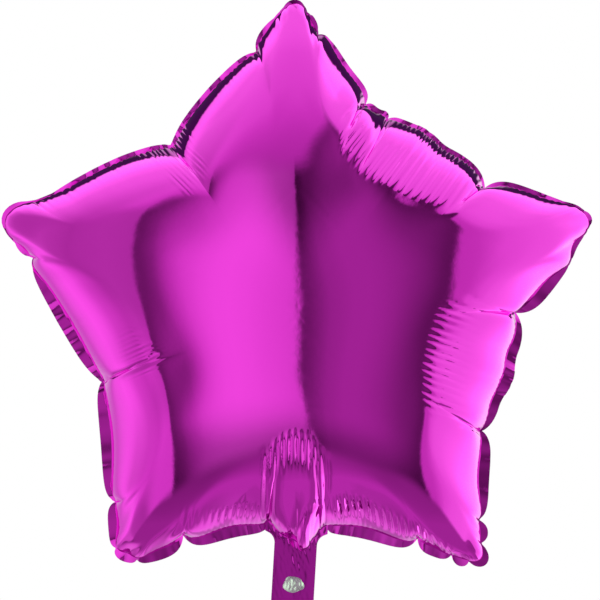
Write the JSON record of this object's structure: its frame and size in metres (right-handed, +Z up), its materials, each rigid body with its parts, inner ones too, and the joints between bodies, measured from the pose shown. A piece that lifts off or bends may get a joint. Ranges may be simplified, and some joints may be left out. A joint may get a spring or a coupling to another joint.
{
  "type": "foil balloon",
  "caption": "Inflated star-shaped foil balloon with a welded rim, creases and gathers along its edges, and a flat filling tail with a filling hole.",
  "frame": {"origin": "on the tail's flat front face, on its middle line and 22 mm above its end, where the tail is held", "axes": "+Z up along the upright star, -Y out of the front face with the filling hole, +X to the right as seen from the front"},
  "size_m": [0.4583, 0.1765, 0.4962],
  "materials": {
    "foil": "metallised film, magenta, mirror gloss"
  },
  "bodies": {
    "root": {"balloon": "foil"}
  },
  "joints": []
}
